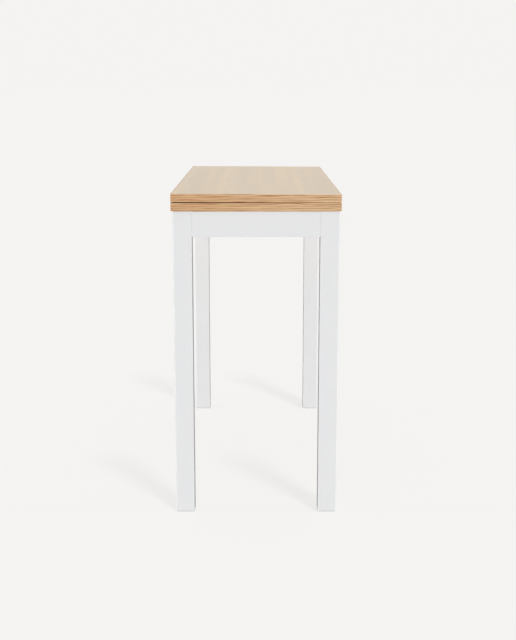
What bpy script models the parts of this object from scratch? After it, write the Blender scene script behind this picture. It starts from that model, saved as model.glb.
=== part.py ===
"""Extending table with a fold-over top, shown closed.

Metres, +Z up.  The origin is on the floor under the middle of the table.
X runs across the table and Y along it, and the short end at -Y is the front.
The top slides towards -X, then its upper leaf turns over towards +X.
"""

import math

import bmesh
import bpy
from mathutils import Matrix

# Table top: two equal leaves, one folded over the other
TOP_WIDTH = 0.400
TOP_LENGTH = 1.000
BOARD_THICKNESS = 0.019
EDGING_THICKNESS = 0.002
ARRIS_RADIUS = 0.0006
HINGE_ARRIS_RADIUS = 0.0019
GLUE_LINE = 0.0001

# Frame of square legs and rectangular aprons, all steel tube
FRAME_HEIGHT = 0.739
TOP_OVERHANG = 0.004
LEG_WIDTH = 0.045
LEG_WALL = 0.0015
LEG_CORNER_RADIUS = 0.002
APRON_HEIGHT = 0.060
APRON_DEPTH = 0.025
APRON_WALL = 0.0015
APRON_CORNER_RADIUS = 0.002
LEAST_BORE_RADIUS = 0.0005

# Foot glides: a flange under the leg and a ribbed plug inside it
FOOT_FLANGE_THICKNESS = 0.003
FOOT_CHAMFER = 0.001
FOOT_PLUG_HEIGHT = 0.018
FOOT_RIB_COUNT = 3
FOOT_RIB_THICKNESS = 0.0015
FOOT_RIB_DEPTH = 0.0015

# Corner brackets between the aprons, and the bolts that draw the legs in
BRACKET_THICKNESS = 0.0025
BRACKET_HEIGHT = 0.040
BRACKET_TAB_LENGTH = 0.022
BOLT_DIAMETER = 0.008
BOLT_HEAD_WIDTH = 0.013
BOLT_HEAD_HEIGHT = 0.0053
BOLT_CHAMFER = 0.001
WELD_NUT_DIAMETER = 0.015
WELD_NUT_LENGTH = 0.010

# Guide channels across the frame, and the sliders that run in them
CHANNEL_END_DISTANCE = 0.220
CHANNEL_WIDTH = 0.030
CHANNEL_HEIGHT = 0.016
CHANNEL_WALL = 0.002
CHANNEL_SLOT = 0.013
SLIDER_FLANGE_WIDTH = 0.030
SLIDER_FLANGE_THICKNESS = 0.003
SCREW_END_DISTANCE = 0.030
SCREW_DIAMETER = 0.004
SCREW_HEAD_DIAMETER = 0.008
SCREW_HEAD_HEIGHT = 0.0023
SCREW_TIP_LENGTH = 0.003
SCREW_POINT_DIAMETER = 0.001
SCREW_BITE = 0.011

# Wear strips on the end aprons, and the buffers between the leaves
STRIP_THICKNESS = 0.0005
STRIP_WIDTH = 0.016
STRIP_CORNER_RADIUS = 0.004
STRIP_END_MARGIN = 0.006
BUFFER_DIAMETER = 0.010
BUFFER_HEIGHT = 0.0016
BUFFER_INSET = 0.020

# Double-pivot hinges let into the inner faces of the leaves
HINGE_END_DISTANCE = 0.120
PIVOT_INSET = 0.0021
CUP_WIDTH = 0.022
CUP_LENGTH = 0.028
CUP_DEPTH = 0.010
LINK_WIDTH = 0.008
LINK_THICKNESS = 0.0038
PIN_DIAMETER = 0.002
PIN_LENGTH = 0.016

# Clearances
FIT_GAP = 0.0003
RUNNING_GAP = 0.0003
PIN_CLEARANCE = 0.00015
CUP_CLEARANCE = 0.0001
SWING_CLEARANCE = 0.00025
CUT_MARGIN = 0.002

# Fineness of round shapes, and the angle from which an edge is shown sharp
CORNER_STEPS = 3
ARRIS_STEPS = 3
ROUND_SIDES = 12
SHARP_DEGREES = 35

# Sizes that follow from the ones above
ROOT_TWO = math.sqrt(2.0)
frame_half_x = TOP_WIDTH / 2 - TOP_OVERHANG
frame_half_y = TOP_LENGTH / 2 - TOP_OVERHANG
apron_inner_x = frame_half_x - APRON_DEPTH
leg_bore = LEG_WIDTH - 2 * LEG_WALL
leg_bore_radius = max(LEG_CORNER_RADIUS - LEG_WALL, LEAST_BORE_RADIUS)
apron_mid_z = FRAME_HEIGHT - APRON_HEIGHT / 2

# Along a leg's diagonal from its sharp inner corner: the nut is let into both walls, and the
# bracket's plate stands off the rounded corner
nut_start = WELD_NUT_DIAMETER / 2 + LEG_WALL / ROOT_TWO
nut_end = nut_start + WELD_NUT_LENGTH
plate_offset = FIT_GAP - (ROOT_TWO - 1) * LEG_CORNER_RADIUS

# The inner arrises at the hinge pass each other as it folds, and need this gap
corner_reach = ROOT_TWO * (PIVOT_INSET - HINGE_ARRIS_RADIUS) + HINGE_ARRIS_RADIUS
arris_reach = max(corner_reach, PIVOT_INSET)
hinge_gap = 2 * (arris_reach - PIVOT_INSET) + SWING_CLEARANCE
pivot_spacing = 2 * PIVOT_INSET + hinge_gap
slide_travel = TOP_WIDTH / 2 + hinge_gap / 2

strip_bottom = FRAME_HEIGHT + FIT_GAP
leaf_bottom = strip_bottom + STRIP_THICKNESS + FIT_GAP
leaf_top = leaf_bottom + BOARD_THICKNESS
pivot_x = TOP_WIDTH / 2 - PIVOT_INSET
pivot_z = leaf_top - PIVOT_INSET

# The buffers hold the free edge a little higher than the hinge edge
buffer_reach = TOP_WIDTH - PIVOT_INSET - BUFFER_INSET
closed_tilt = math.atan((BUFFER_HEIGHT + 2 * FIT_GAP - hinge_gap) / buffer_reach)

slider_top = leaf_bottom - FIT_GAP
channel_top = slider_top - SLIDER_FLANGE_THICKNESS - RUNNING_GAP
channel_bottom = channel_top - CHANNEL_HEIGHT
channel_y = frame_half_y - CHANNEL_END_DISTANCE
slider_length = 2 * (apron_inner_x - FIT_GAP) - slide_travel
slider_head_top = channel_top - CHANNEL_WALL - RUNNING_GAP
slider_bottom = channel_bottom + CHANNEL_WALL + RUNNING_GAP
screw_reach = slider_length / 2 - SCREW_END_DISTANCE

# A leaf is made about its pivot axis, inner face up, hinge edge at +X
inner_face = PIVOT_INSET
outer_face = PIVOT_INSET - BOARD_THICKNESS
hinge_edge = PIVOT_INSET
free_edge = PIVOT_INSET - TOP_WIDTH
end_edge = TOP_LENGTH / 2
hinge_y = end_edge - HINGE_END_DISTANCE


def clear_scene():
    for item in list(bpy.data.objects):
        bpy.data.objects.remove(item)


def make_material(name, colour, roughness, metallic=0.0):
    material = bpy.data.materials.new(name)
    material.use_nodes = True
    shader = material.node_tree.nodes["Principled BSDF"]
    shader.inputs["Base Color"].default_value = (*colour, 1.0)
    shader.inputs["Roughness"].default_value = roughness
    shader.inputs["Metallic"].default_value = metallic
    return material


def rounded_rectangle(size_a, size_b, radius):
    """Points of a rectangle with round corners, anticlockwise about its middle."""
    points = []
    for quarter, (sign_a, sign_b) in enumerate(((1, 1), (-1, 1), (-1, -1), (1, -1))):
        corner_a = sign_a * (size_a / 2 - radius)
        corner_b = sign_b * (size_b / 2 - radius)
        for step in range(CORNER_STEPS + 1):
            angle = (quarter + step / CORNER_STEPS) * math.pi / 2
            points.append((corner_a + radius * math.cos(angle), corner_b + radius * math.sin(angle)))
    return points


def circle(radius, centre=(0.0, 0.0), start=0.0, turn=2 * math.pi, sides=ROUND_SIDES):
    """Points round a circle, or round an arc with both its ends, anticlockwise."""
    count = sides if turn == 2 * math.pi else sides + 1
    points = []
    for step in range(count):
        angle = start + turn * step / sides
        points.append((centre[0] + radius * math.cos(angle), centre[1] + radius * math.sin(angle)))
    return points


def hexagon(across_flats, sides_each=2):
    """A hexagon with extra points along its sides, so that it can be bridged to a circle."""
    points = []
    corner_radius = across_flats / math.sqrt(3.0)
    corners = circle(corner_radius, sides=6)
    for here, there in zip(corners, corners[1:] + corners[:1]):
        for step in range(sides_each):
            share = step / sides_each
            points.append((here[0] + share * (there[0] - here[0]), here[1] + share * (there[1] - here[1])))
    return points


def loft(rings, axis="Z"):
    """A closed solid through rings of (outline, height).

    An outline's two coordinates are X, Y along Z; Y, Z along X; and Z, X along Y.
    """
    order = {"Z": (0, 1, 2), "X": (2, 0, 1), "Y": (1, 2, 0)}[axis]
    shape = bmesh.new()
    loops = []
    for outline, height in rings:
        loop = []
        for point in outline:
            place = (*point, height)
            loop.append(shape.verts.new([place[index] for index in order]))
        loops.append(loop)
    for lower, upper in zip(loops, loops[1:]):
        for index in range(len(lower)):
            after = (index + 1) % len(lower)
            shape.faces.new((lower[index], lower[after], upper[after], upper[index]))
    shape.faces.new(loops[0][::-1])
    shape.faces.new(loops[-1])
    mesh = bpy.data.meshes.new("solid")
    shape.to_mesh(mesh)
    shape.free()
    return mesh


def prism(outline, low, high, axis="Z"):
    return loft([(outline, low), (outline, high)], axis)


def box(low, high):
    outline = [(low[0], low[1]), (high[0], low[1]), (high[0], high[1]), (low[0], high[1])]
    return prism(outline, low[2], high[2])


def combine(base, tool, operation):
    """Boolean of two meshes, which are used up."""
    body = bpy.data.objects.new("boolean_body", base)
    cutter = bpy.data.objects.new("boolean_cutter", tool)
    bpy.context.collection.objects.link(body)
    bpy.context.collection.objects.link(cutter)
    modifier = body.modifiers.new("boolean", "BOOLEAN")
    modifier.operation = operation
    modifier.solver = "EXACT"
    modifier.object = cutter
    graph = bpy.context.evaluated_depsgraph_get()
    result = bpy.data.meshes.new_from_object(body.evaluated_get(graph))
    for item, mesh in ((body, base), (cutter, tool)):
        bpy.data.objects.remove(item)
        bpy.data.meshes.remove(mesh)
    return result


def cut(base, tool):
    return combine(base, tool, "DIFFERENCE")


def add_pivot(name, parent=None, location=(0.0, 0.0, 0.0), tilt=0.0):
    pivot = bpy.data.objects.new(name, None)
    bpy.context.collection.objects.link(pivot)
    pivot.parent = parent
    pivot.location = location
    pivot.rotation_euler = (0.0, tilt, 0.0)
    return pivot


def add_piece(name, mesh, material, parent, location=(0.0, 0.0, 0.0), rotation=(0.0, 0.0, 0.0)):
    if not mesh.materials:
        mesh.materials.append(material)
        mesh.name = name
        mesh.shade_smooth()
        mesh.set_sharp_from_angle(angle=math.radians(SHARP_DEGREES))
    piece = bpy.data.objects.new(name, mesh)
    bpy.context.collection.objects.link(piece)
    piece.parent = parent
    piece.location = location
    piece.rotation_euler = rotation
    return piece


def along_leg_diagonal(mesh):
    """Turn a solid made along X to run from a leg's inner corner, at -X -Y, to its middle."""
    corner = Matrix.Translation((-LEG_WIDTH / 2, -LEG_WIDTH / 2, apron_mid_z))
    mesh.transform(corner @ Matrix.Rotation(math.pi / 4, 4, "Z"))
    return mesh


def bolt_hole(low, high):
    return along_leg_diagonal(prism(circle(BOLT_DIAMETER / 2 + FIT_GAP), low, high, "X"))


def leg_mesh():
    """A tube closed at the top, about its own middle, with a weld nut in its inner corner."""
    outside = rounded_rectangle(LEG_WIDTH, LEG_WIDTH, LEG_CORNER_RADIUS)
    inside = rounded_rectangle(leg_bore, leg_bore, leg_bore_radius)
    tube = prism(outside, FOOT_FLANGE_THICKNESS + FIT_GAP, FRAME_HEIGHT)
    tube = cut(tube, prism(inside, 0.0, FRAME_HEIGHT - LEG_WALL))
    nut = along_leg_diagonal(prism(circle(WELD_NUT_DIAMETER / 2), nut_start, nut_end, "X"))
    tube = combine(tube, nut, "UNION")
    return cut(tube, bolt_hole(-CUT_MARGIN, nut_end + CUT_MARGIN))


def foot_mesh():
    """A chamfered flange with a plug above it that has ribs round it."""
    rib_size = leg_bore - 2 * FIT_GAP
    core_size = rib_size - 2 * FOOT_RIB_DEPTH

    def ring(size, radius, height):
        return rounded_rectangle(size, size, radius), height

    sole_size = LEG_WIDTH - 2 * FOOT_CHAMFER
    rings = [
        ring(sole_size, LEG_CORNER_RADIUS, 0.0),
        ring(LEG_WIDTH, LEG_CORNER_RADIUS, FOOT_CHAMFER),
        ring(LEG_WIDTH, LEG_CORNER_RADIUS, FOOT_FLANGE_THICKNESS),
        ring(core_size, leg_bore_radius, FOOT_FLANGE_THICKNESS),
    ]
    rib_pitch = FOOT_PLUG_HEIGHT / FOOT_RIB_COUNT
    for rib in range(FOOT_RIB_COUNT):
        rib_top = FOOT_FLANGE_THICKNESS + (rib + 1) * rib_pitch
        rib_bottom = rib_top - FOOT_RIB_THICKNESS
        rings.append(ring(core_size, leg_bore_radius, rib_bottom))
        rings.append(ring(rib_size, leg_bore_radius, rib_bottom))
        rings.append(ring(rib_size, leg_bore_radius, rib_top))
        if rib + 1 < FOOT_RIB_COUNT:
            rings.append(ring(core_size, leg_bore_radius, rib_top))
    return loft(rings)


def apron_tube(length, axis):
    """A rectangular tube on its own middle, open at both ends."""
    sizes = (APRON_DEPTH, APRON_HEIGHT) if axis == "X" else (APRON_HEIGHT, APRON_DEPTH)
    bore = [size - 2 * APRON_WALL for size in sizes]
    bore_radius = max(APRON_CORNER_RADIUS - APRON_WALL, LEAST_BORE_RADIUS)
    outside = rounded_rectangle(*sizes, APRON_CORNER_RADIUS)
    inside = rounded_rectangle(*bore, bore_radius)
    tube = prism(outside, -length / 2, length / 2, axis)
    return cut(tube, prism(inside, -length / 2 - CUT_MARGIN, length / 2 + CUT_MARGIN, axis))


def bracket_mesh():
    """A plate bent twice, which crosses the corner and lies on both aprons, about the leg's middle."""
    tab_face = LEG_WIDTH - APRON_DEPTH - FIT_GAP
    bend = tab_face + plate_offset * ROOT_TWO
    back_face = tab_face - BRACKET_THICKNESS
    back_bend = bend + BRACKET_THICKNESS * (ROOT_TWO - 1)
    tab_end = bend + BRACKET_TAB_LENGTH
    half = [(-tab_end, tab_face), (-bend, tab_face)]
    back_half = [(-back_bend, back_face), (-tab_end, back_face)]
    front_side = half + [(b, a) for a, b in reversed(half)]
    back_side = [(b, a) for a, b in reversed(back_half)] + back_half
    outline = [(a - LEG_WIDTH / 2, b - LEG_WIDTH / 2) for a, b in reversed(front_side + back_side)]
    plate = prism(outline, apron_mid_z - BRACKET_HEIGHT / 2, apron_mid_z + BRACKET_HEIGHT / 2)
    return cut(plate, bolt_hole(-plate_offset - BRACKET_THICKNESS - CUT_MARGIN, CUT_MARGIN))


def bolt_mesh():
    """A hexagon-head bolt along the leg's diagonal, about the leg's middle."""
    under_head = -(plate_offset + BRACKET_THICKNESS + FIT_GAP)
    head = hexagon(BOLT_HEAD_WIDTH)
    shank = circle(BOLT_DIAMETER / 2, sides=len(head))
    tip = circle(BOLT_DIAMETER / 2 - BOLT_CHAMFER, sides=len(head))
    rings = [
        (head, under_head - BOLT_HEAD_HEIGHT),
        (head, under_head),
        (shank, under_head),
        (shank, nut_end - BOLT_CHAMFER),
        (tip, nut_end),
    ]
    return along_leg_diagonal(loft(rings, "X"))


def channel_mesh():
    """A C-shaped channel with its slot upward, on its own middle and at its own height."""
    half = CHANNEL_WIDTH / 2
    inner = half - CHANNEL_WALL
    lip = CHANNEL_SLOT / 2
    lip_bottom = channel_top - CHANNEL_WALL
    right = [(half, channel_bottom), (half, channel_top), (lip, channel_top)]
    right += [(lip, lip_bottom), (inner, lip_bottom), (inner, channel_bottom + CHANNEL_WALL)]
    outline = right + [(-a, b) for a, b in reversed(right)]
    length = 2 * (apron_inner_x - FIT_GAP)
    return prism(outline, -length / 2, length / 2, "X")


def slider_mesh():
    """A nylon runner of I section: flange under the leaf, neck in the slot, head under the lips."""
    flange = SLIDER_FLANGE_WIDTH / 2
    neck = CHANNEL_SLOT / 2 - RUNNING_GAP
    head = CHANNEL_WIDTH / 2 - CHANNEL_WALL - RUNNING_GAP
    flange_bottom = slider_top - SLIDER_FLANGE_THICKNESS
    right = [(head, slider_bottom), (head, slider_head_top), (neck, slider_head_top)]
    right += [(neck, flange_bottom), (flange, flange_bottom), (flange, slider_top)]
    outline = right + [(-a, b) for a, b in reversed(right)]
    runner = prism(outline, -slider_length / 2, slider_length / 2, "X")
    for place in (-screw_reach, screw_reach):
        runner = cut(runner, screw_hole(place))
    return runner


def screw_hole(place_x):
    """A countersunk hole through the slider."""
    head = circle(SCREW_HEAD_DIAMETER / 2 + FIT_GAP, (place_x, 0.0))
    shank = circle(SCREW_DIAMETER / 2 + FIT_GAP, (place_x, 0.0))
    rings = [
        (head, slider_bottom - FIT_GAP),
        (shank, slider_bottom + SCREW_HEAD_HEIGHT),
        (shank, slider_top + CUT_MARGIN),
    ]
    return loft(rings)


def screw_mesh():
    """A countersunk wood screw, from the slider's underside up into the leaf."""
    head = circle(SCREW_HEAD_DIAMETER / 2)
    shank = circle(SCREW_DIAMETER / 2)
    point = circle(SCREW_POINT_DIAMETER / 2)
    tip = leaf_bottom + SCREW_BITE
    rings = [
        (head, slider_bottom),
        (shank, slider_bottom + SCREW_HEAD_HEIGHT),
        (shank, tip - SCREW_TIP_LENGTH),
        (point, tip),
    ]
    return loft(rings)


def strip_mesh():
    """A flat low-friction strip that lies along an end apron."""
    length = 2 * (frame_half_x - LEG_WIDTH - STRIP_END_MARGIN)
    return prism(rounded_rectangle(length, STRIP_WIDTH, STRIP_CORNER_RADIUS), 0.0, STRIP_THICKNESS)


def buffer_mesh():
    """A low soft button, rounded over at the top."""
    radius = BUFFER_DIAMETER / 2
    rounding = BUFFER_HEIGHT / 2
    rings = [(circle(radius), 0.0)]
    for step in range(CORNER_STEPS + 1):
        angle = step / CORNER_STEPS * math.pi / 2
        ring_radius = radius - rounding * (1 - math.cos(angle))
        rings.append((circle(ring_radius), BUFFER_HEIGHT - rounding * (1 - math.sin(angle))))
    return loft(rings)


def round_over(shape, edges, radius):
    bmesh.ops.bevel(shape, geom=edges, offset=radius, offset_type="OFFSET", segments=ARRIS_STEPS,
                    profile=0.5, affect="EDGES", clamp_overlap=True)


def leaf_blank():
    """The whole leaf, from which the board and edging are sliced.

    Its edges are broken, and the inner one at the hinge is rounded more, to let the leaves fold.
    """
    shape = bmesh.new()
    bmesh.ops.create_cube(shape, size=1.0)
    bmesh.ops.scale(shape, verts=shape.verts, vec=(TOP_WIDTH, TOP_LENGTH, BOARD_THICKNESS))
    middle = ((hinge_edge + free_edge) / 2, 0.0, (inner_face + outer_face) / 2)
    bmesh.ops.translate(shape, verts=shape.verts, vec=middle)
    # The pivot axis runs through the origin, so only that edge lies above it and beyond it
    folding = [edge for edge in shape.edges if all(v.co.x > 0 and v.co.z > 0 for v in edge.verts)]
    round_over(shape, folding, HINGE_ARRIS_RADIUS)
    sharp = [edge for edge in shape.edges if edge.calc_face_angle() > math.radians(SHARP_DEGREES)]
    round_over(shape, sharp, ARRIS_RADIUS)
    mesh = bpy.data.meshes.new("leaf_blank")
    shape.to_mesh(mesh)
    shape.free()
    return mesh


def leaf_slice(low_x, high_x, low_y, high_y):
    bottom = outer_face - CUT_MARGIN
    top = inner_face + CUT_MARGIN
    return combine(leaf_blank(), box((low_x, low_y, bottom), (high_x, high_y, top)), "INTERSECT")


def cup_outline(grow):
    """A hinge cup's plan: straight sides from beyond the hinge edge, and a round end."""
    radius = CUP_WIDTH / 2
    centre = (hinge_edge - CUP_LENGTH + radius, 0.0)
    mouth = hinge_edge + CUT_MARGIN
    arc = circle(radius + grow, centre, math.pi / 2, math.pi)
    return [(mouth, -radius - grow), (mouth, radius + grow)] + arc


def cut_cup_pockets(mesh):
    for place in (-hinge_y, 0.0, hinge_y):
        outline = [(a, b + place) for a, b in cup_outline(CUP_CLEARANCE)]
        bottom = inner_face - CUP_DEPTH - CUP_CLEARANCE
        mesh = cut(mesh, prism(outline, bottom, inner_face + CUT_MARGIN))
    return mesh


def board_mesh(pilot_places=()):
    """The board between the edging strips, with pockets for the cups and any screw holes."""
    inset = EDGING_THICKNESS + GLUE_LINE
    board = leaf_slice(free_edge + inset, hinge_edge - inset, inset - end_edge, end_edge - inset)
    board = cut_cup_pockets(board)
    for place_x, place_y in pilot_places:
        pilot = circle(SCREW_DIAMETER / 2 + FIT_GAP, (place_x, place_y))
        board = cut(board, prism(pilot, outer_face - CUT_MARGIN, outer_face + SCREW_BITE + FIT_GAP))
    return board


def edging_meshes():
    """The strips of one leaf: the end strips run the full width, the others between them."""
    between = end_edge - EDGING_THICKNESS - GLUE_LINE
    low = free_edge - CUT_MARGIN
    high = hinge_edge + CUT_MARGIN
    end = end_edge + CUT_MARGIN
    return {
        "front": leaf_slice(low, high, -end, EDGING_THICKNESS - end_edge),
        "rear": leaf_slice(low, high, end_edge - EDGING_THICKNESS, end),
        "free": leaf_slice(low, free_edge + EDGING_THICKNESS, -between, between),
        "hinge": cut_cup_pockets(leaf_slice(hinge_edge - EDGING_THICKNESS, high, -between, between)),
    }


def cup_mesh():
    """A cast hinge cup, flush with the leaf, notched at its edge for the link and drilled for the pin."""
    cup = prism(cup_outline(0.0), inner_face - CUP_DEPTH, inner_face + CUT_MARGIN)
    cup = combine(cup, leaf_blank(), "INTERSECT")
    notch = LINK_THICKNESS / 2 + RUNNING_GAP
    notch_half = LINK_WIDTH / 2 + RUNNING_GAP
    notch_high = (hinge_edge + CUT_MARGIN, notch_half, inner_face + CUT_MARGIN)
    cup = cut(cup, box((-notch, -notch_half, -notch), notch_high))
    half = PIN_LENGTH / 2 + FIT_GAP
    return cut(cup, prism(circle(PIN_DIAMETER / 2 + PIN_CLEARANCE), -half, half, "Y"))


def link_mesh():
    """A short link with round ends and a pin hole in each, from the lower pivot to the upper one."""
    radius = LINK_THICKNESS / 2
    far_end = circle(radius, (pivot_spacing, 0.0), -math.pi / 2, math.pi)
    near_end = circle(radius, (0.0, 0.0), math.pi / 2, math.pi)
    half = LINK_WIDTH / 2
    link = prism(far_end + near_end, -half, half, "Y")
    for place in (0.0, pivot_spacing):
        hole = circle(PIN_DIAMETER / 2 + PIN_CLEARANCE, (place, 0.0))
        link = cut(link, prism(hole, -half - CUT_MARGIN, half + CUT_MARGIN, "Y"))
    return link


def pin_mesh():
    return prism(circle(PIN_DIAMETER / 2), -PIN_LENGTH / 2, PIN_LENGTH / 2, "Y")


def build_frame():
    coat = make_material("white_powder_coat", (0.80, 0.80, 0.80), 0.45)
    plastic = make_material("white_plastic", (0.72, 0.72, 0.71), 0.5)
    zinc = make_material("zinc_plated_steel", (0.60, 0.61, 0.62), 0.35, 1.0)
    nylon = make_material("wear_strip_nylon", (0.70, 0.69, 0.65), 0.55)
    root = add_pivot("frame_root")

    leg, foot, bracket, bolt = leg_mesh(), foot_mesh(), bracket_mesh(), bolt_mesh()
    corners = ("rear_right", "rear_left", "front_left", "front_right")
    signs = ((1, 1), (-1, 1), (-1, -1), (1, -1))
    for quarter, (corner, (sign_x, sign_y)) in enumerate(zip(corners, signs)):
        place = (sign_x * (frame_half_x - LEG_WIDTH / 2), sign_y * (frame_half_y - LEG_WIDTH / 2), 0.0)
        turn = (0.0, 0.0, quarter * math.pi / 2)
        add_piece(f"leg_{corner}", leg, coat, root, place, turn)
        add_piece(f"foot_glide_{corner}", foot, plastic, root, place, turn)
        add_piece(f"corner_bracket_{corner}", bracket, coat, root, place, turn)
        add_piece(f"leg_bolt_{corner}", bolt, zinc, root, place, turn)

    end_apron = apron_tube(2 * (frame_half_x - LEG_WIDTH - FIT_GAP), "X")
    side_apron = apron_tube(2 * (frame_half_y - LEG_WIDTH - FIT_GAP), "Y")
    channel, strip = channel_mesh(), strip_mesh()
    apron_y = frame_half_y - APRON_DEPTH / 2
    for end, sign in (("front", -1), ("rear", 1)):
        add_piece(f"end_apron_{end}", end_apron, coat, root, (0.0, sign * apron_y, apron_mid_z))
        add_piece(f"guide_channel_{end}", channel, coat, root, (0.0, sign * channel_y, 0.0))
        add_piece(f"wear_strip_{end}", strip, nylon, root, (0.0, sign * apron_y, strip_bottom))
    for side, sign in (("left", -1), ("right", 1)):
        place = (sign * (frame_half_x - APRON_DEPTH / 2), 0.0, apron_mid_z)
        add_piece(f"side_apron_{side}", side_apron, coat, root, place)


def build_top():
    laminate = make_material("oak_laminate", (0.69, 0.60, 0.49), 0.5)
    edging = make_material("oak_edging", (0.61, 0.38, 0.21), 0.5)
    cast = make_material("nickel_zinc_casting", (0.62, 0.61, 0.59), 0.3, 1.0)
    steel = make_material("steel_pin", (0.55, 0.55, 0.56), 0.3, 1.0)
    nylon = make_material("slider_nylon", (0.75, 0.74, 0.70), 0.5)
    zinc = make_material("screw_zinc", (0.60, 0.61, 0.62), 0.35, 1.0)
    rubber = make_material("buffer_rubber", (0.45, 0.45, 0.44), 0.7)

    slide = add_pivot("lower_leaf_slide", None, (pivot_x, 0.0, pivot_z))
    link_pivot = add_pivot("link_pivot", slide, (0.0, 0.0, 0.0), closed_tilt / 2)
    leaf_pivot = add_pivot("leaf_pivot", link_pivot, (0.0, 0.0, pivot_spacing), closed_tilt / 2)

    # The upper leaf is the same part as the lower one, turned over about X
    turned_over = (math.pi, 0.0, 0.0)
    slider_x = slide_travel / 2 - pivot_x
    ends = (("front", -1), ("rear", 1))
    screws = (("left", -1), ("right", 1))
    pilots = []
    for _, sign_y in ends:
        for _, sign_x in screws:
            pilots.append((slider_x + sign_x * screw_reach, sign_y * channel_y))
    add_piece("lower_leaf_board", board_mesh(pilots), laminate, slide)
    add_piece("upper_leaf_board", board_mesh(), laminate, leaf_pivot, rotation=turned_over)
    strips = edging_meshes()
    opposite = {"front": "rear", "rear": "front", "free": "free", "hinge": "hinge"}
    for side, mesh in strips.items():
        add_piece(f"lower_edging_{side}", mesh, edging, slide)
        add_piece(f"upper_edging_{opposite[side]}", mesh, edging, leaf_pivot, rotation=turned_over)

    cup, link, pin = cup_mesh(), link_mesh(), pin_mesh()
    for place, sign in (("front", -1), ("middle", 0), ("rear", 1)):
        spot = (0.0, sign * hinge_y, 0.0)
        add_piece(f"lower_hinge_cup_{place}", cup, cast, slide, spot)
        add_piece(f"lower_hinge_pin_{place}", pin, steel, slide, spot)
        add_piece(f"hinge_link_{place}", link, steel, link_pivot, spot)
        add_piece(f"upper_hinge_cup_{place}", cup, cast, leaf_pivot, spot, turned_over)
        add_piece(f"upper_hinge_pin_{place}", pin, steel, leaf_pivot, spot)

    # The sliders, screws and buffers are made at their own height in the table
    slider, screw, button = slider_mesh(), screw_mesh(), buffer_mesh()
    for end, sign_y in ends:
        spot_y = sign_y * channel_y
        add_piece(f"slider_{end}", slider, nylon, slide, (slider_x, spot_y, -pivot_z))
        for side, sign_x in screws:
            spot = (slider_x + sign_x * screw_reach, spot_y, -pivot_z)
            add_piece(f"slider_screw_{end}_{side}", screw, zinc, slide, spot)
        spot = (free_edge + BUFFER_INSET, sign_y * (end_edge - BUFFER_INSET), inner_face + FIT_GAP)
        add_piece(f"buffer_{end}", button, rubber, slide, spot)


clear_scene()
build_frame()
build_top()
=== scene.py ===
import math

import bmesh
import bpy
from mathutils import Matrix, Vector


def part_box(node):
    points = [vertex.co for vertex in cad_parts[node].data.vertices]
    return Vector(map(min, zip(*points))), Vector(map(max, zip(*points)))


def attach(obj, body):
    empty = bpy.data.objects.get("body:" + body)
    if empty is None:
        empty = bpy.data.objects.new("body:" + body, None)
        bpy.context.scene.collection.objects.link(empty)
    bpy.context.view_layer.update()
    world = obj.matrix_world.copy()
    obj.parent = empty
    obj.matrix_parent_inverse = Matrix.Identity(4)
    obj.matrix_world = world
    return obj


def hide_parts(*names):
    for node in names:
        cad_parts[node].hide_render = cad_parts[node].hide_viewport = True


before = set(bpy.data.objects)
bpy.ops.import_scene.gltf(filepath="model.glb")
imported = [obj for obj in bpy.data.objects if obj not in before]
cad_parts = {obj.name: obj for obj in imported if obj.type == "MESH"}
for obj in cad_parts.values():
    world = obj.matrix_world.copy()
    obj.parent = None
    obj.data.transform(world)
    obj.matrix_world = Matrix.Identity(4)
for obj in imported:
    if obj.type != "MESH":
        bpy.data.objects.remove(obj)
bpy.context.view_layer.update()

# Legs
# Four lengths of 45 mm square steel tube, cold rolled with rounded corners and capped at the top.
# Each is drawn into its corner of the frame by one bolt, and all of it is powder coated white.
CORNERS = {"front_left": (-1, -1), "front_right": (1, -1), "rear_left": (-1, 1), "rear_right": (1, 1)}

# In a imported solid, points this close are one, and so are faces this near to one plane.
SAME_POINT = 1e-6
SAME_PLANE_DEGREES = 0.5
SHARP_DEGREES = 40
EASED_STEPS = 2


def linear(hex_colour):
    """An sRGB hex colour as linear red, green, blue and alpha."""
    colour = []
    for start in (1, 3, 5):
        share = int(hex_colour[start:start + 2], 16) / 255
        colour.append(share / 12.92 if share <= 0.04045 else ((share + 0.055) / 1.055) ** 2.4)
    return colour + [1.0]


def set_sockets(node, sockets):
    """Give each named input a value, or a link from another node's output."""
    for name, value in sockets.items():
        if isinstance(value, bpy.types.NodeSocket):
            node.id_data.links.new(value, node.inputs[name])
        else:
            node.inputs[name].default_value = value


def add_node(owner, kind, sockets, **settings):
    """Add a shader node to a material or world, with its settings, values and links."""
    node = owner.node_tree.nodes.new("ShaderNode" + kind)
    for name, value in settings.items():
        setattr(node, name, value)
    set_sockets(node, sockets)
    return node


def new_material(name):
    """A material with its surface shader, and the place on the piece that its patterns start from."""
    material = bpy.data.materials.new(name)
    material.use_nodes = True
    surface = material.node_tree.nodes["Principled BSDF"]
    place = add_node(material, "TexCoord", {}).outputs["Object"]
    return material, surface, place


def mesh_of(shape, name):
    """Turn a finished shape into a mesh; the shape is used up."""
    mesh = bpy.data.meshes.new(name)
    shape.to_mesh(mesh)
    shape.free()
    return mesh


def solid_copy(node, edge_radius=0.0):
    """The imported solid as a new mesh: flat faces made whole, and sharp edges eased by a radius."""
    shape = bmesh.new()
    shape.from_mesh(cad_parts[node].data)
    bmesh.ops.remove_doubles(shape, verts=shape.verts, dist=SAME_POINT)
    bmesh.ops.dissolve_limit(shape, angle_limit=math.radians(SAME_PLANE_DEGREES), verts=shape.verts,
                             edges=shape.edges)
    if edge_radius:
        sharp_angle = math.radians(SHARP_DEGREES)
        sharp = [edge for edge in shape.edges if edge.calc_face_angle(0.0) > sharp_angle]
        bmesh.ops.bevel(shape, geom=sharp, offset=edge_radius, offset_type="OFFSET", segments=EASED_STEPS,
                        profile=0.5, affect="EDGES", clamp_overlap=True)
    return mesh_of(shape, node)


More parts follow.
